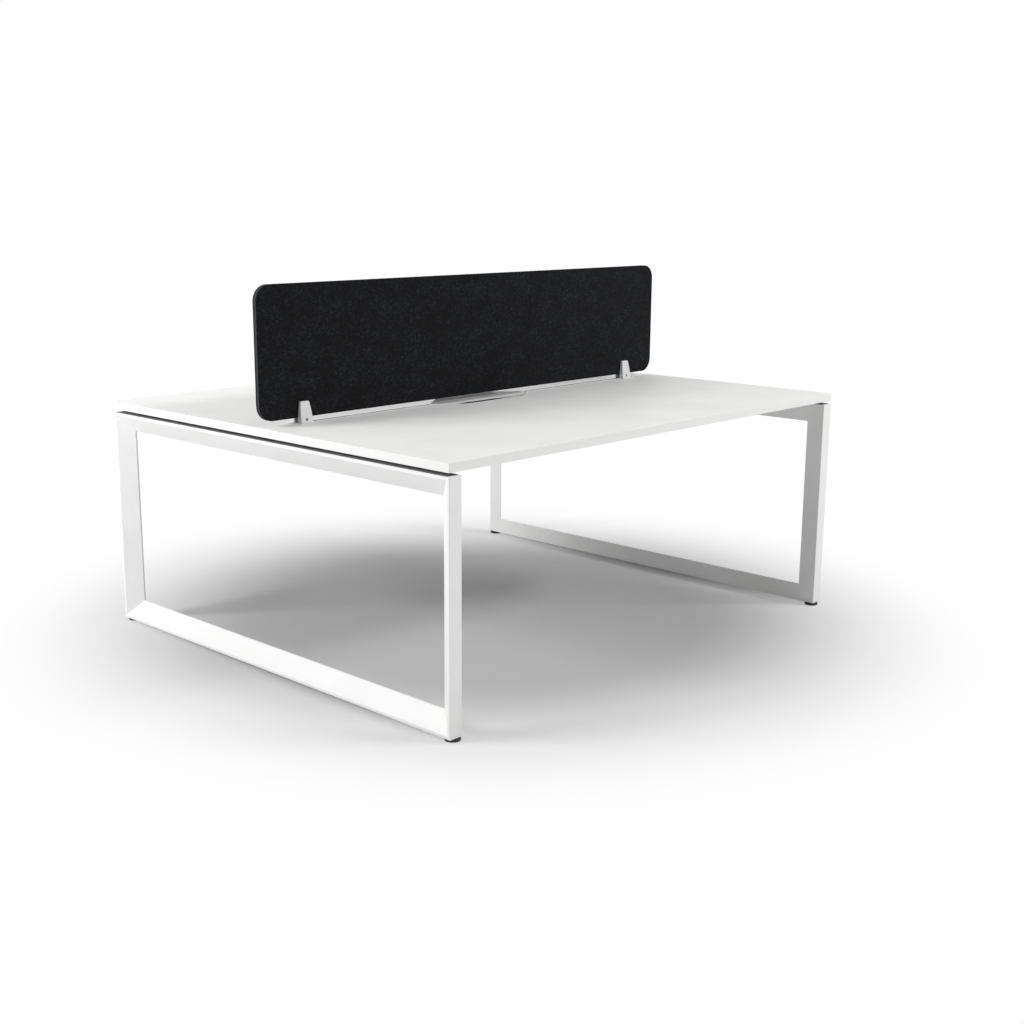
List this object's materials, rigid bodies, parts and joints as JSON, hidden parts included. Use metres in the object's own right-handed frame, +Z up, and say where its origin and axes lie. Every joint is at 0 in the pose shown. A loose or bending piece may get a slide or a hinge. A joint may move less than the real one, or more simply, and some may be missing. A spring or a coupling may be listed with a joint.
{
  "type": "benching desk",
  "caption": "Back-to-back benching desk: facing white worktops on bevelled steel loop frames, with a centre cable opening over a tray and a black felt divider screen.",
  "frame": {"origin": "centre of the footprint, on the floor under the feet", "axes": "+X along the length of the worktops, -Y towards the front user, +Z up"},
  "size_m": [1.8, 1.558, 1.137],
  "materials": {
    "worktop_melamine": "white melamine-faced board, satin",
    "frame_paint": "white powder coat, satin",
    "bracket_paint": "pale grey powder coat",
    "saddle_paint": "dark grey powder coat",
    "tray_paint": "black powder coat, matt",
    "foot_plastic": "black moulded plastic",
    "zinc_steel": "zinc-plated steel",
    "screen_felt": "black pressed felt",
    "screen_board": "board with a black edge"
  },
  "bodies": {
    "desk": {"cable_tray": "tray_paint", "centre_left_tab": "frame_paint", "centre_left_tab_front_screw": "zinc_steel", "centre_left_tab_rear_screw": "zinc_steel", "centre_right_tab": "frame_paint", "centre_right_tab_front_screw": "zinc_steel", "centre_right_tab_rear_screw": "zinc_steel", "front_beam": "frame_paint", "front_beam_left_bolt_1": "zinc_steel", "front_beam_left_bolt_2": "zinc_steel", "front_beam_right_bolt_1": "zinc_steel", "front_beam_right_bolt_2": "zinc_steel", "front_left_foot_nut": "zinc_steel", "front_left_tab": "frame_paint", "front_left_tab_screw": "zinc_steel", "front_right_foot_nut": "zinc_steel", "front_right_tab": "frame_paint", "front_right_tab_screw": "zinc_steel", "front_worktop": "worktop_melamine", "left_bottom_rail": "frame_paint", "left_bracket_clamp_plate": "zinc_steel", "left_bracket_front_cheek": "bracket_paint", "left_bracket_rear_cheek": "bracket_paint", "left_bracket_saddle": "saddle_paint", "left_bracket_screw": "saddle_paint", "left_front_post": "frame_paint", "left_rear_post": "frame_paint", "left_top_rail": "frame_paint", "rear_beam": "frame_paint", "rear_beam_left_bolt_1": "zinc_steel", "rear_beam_left_bolt_2": "zinc_steel", "rear_beam_right_bolt_1": "zinc_steel", "rear_beam_right_bolt_2": "zinc_steel", "rear_left_foot_nut": "zinc_steel", "rear_left_tab": "frame_paint", "rear_left_tab_screw": "zinc_steel", "rear_right_foot_nut": "zinc_steel", "rear_right_tab": "frame_paint", "rear_right_tab_screw": "zinc_steel", "rear_worktop": "worktop_melamine", "right_bottom_rail": "frame_paint", "right_bracket_clamp_plate": "zinc_steel", "right_bracket_front_cheek": "bracket_paint", "right_bracket_rear_cheek": "bracket_paint", "right_bracket_saddle": "saddle_paint", "right_bracket_screw": "saddle_paint", "right_front_post": "frame_paint", "right_rear_post": "frame_paint", "right_top_rail": "frame_paint", "screen_core": "screen_board", "screen_front_felt": "screen_felt", "screen_rear_felt": "screen_felt"},
    "front_left_foot": {"front_left_foot_pad": "foot_plastic", "front_left_foot_stud": "zinc_steel"},
    "front_right_foot": {"front_right_foot_pad": "foot_plastic", "front_right_foot_stud": "zinc_steel"},
    "rear_left_foot": {"rear_left_foot_pad": "foot_plastic", "rear_left_foot_stud": "zinc_steel"},
    "rear_right_foot": {"rear_right_foot_pad": "foot_plastic", "rear_right_foot_stud": "zinc_steel"}
  },
  "joints": [
    {"name": "front_left_foot_level", "type": "slide", "parent": "desk", "child": "front_left_foot", "axis": [0, 0, -1], "range_m": [0, 0.015]},
    {"name": "front_right_foot_level", "type": "slide", "parent": "desk", "child": "front_right_foot", "axis": [0, 0, -1], "range_m": [0, 0.015]},
    {"name": "rear_left_foot_level", "type": "slide", "parent": "desk", "child": "rear_left_foot", "axis": [0, 0, -1], "range_m": [0, 0.015]},
    {"name": "rear_right_foot_level", "type": "slide", "parent": "desk", "child": "rear_right_foot", "axis": [0, 0, -1], "range_m": [0, 0.015]}
  ]
}
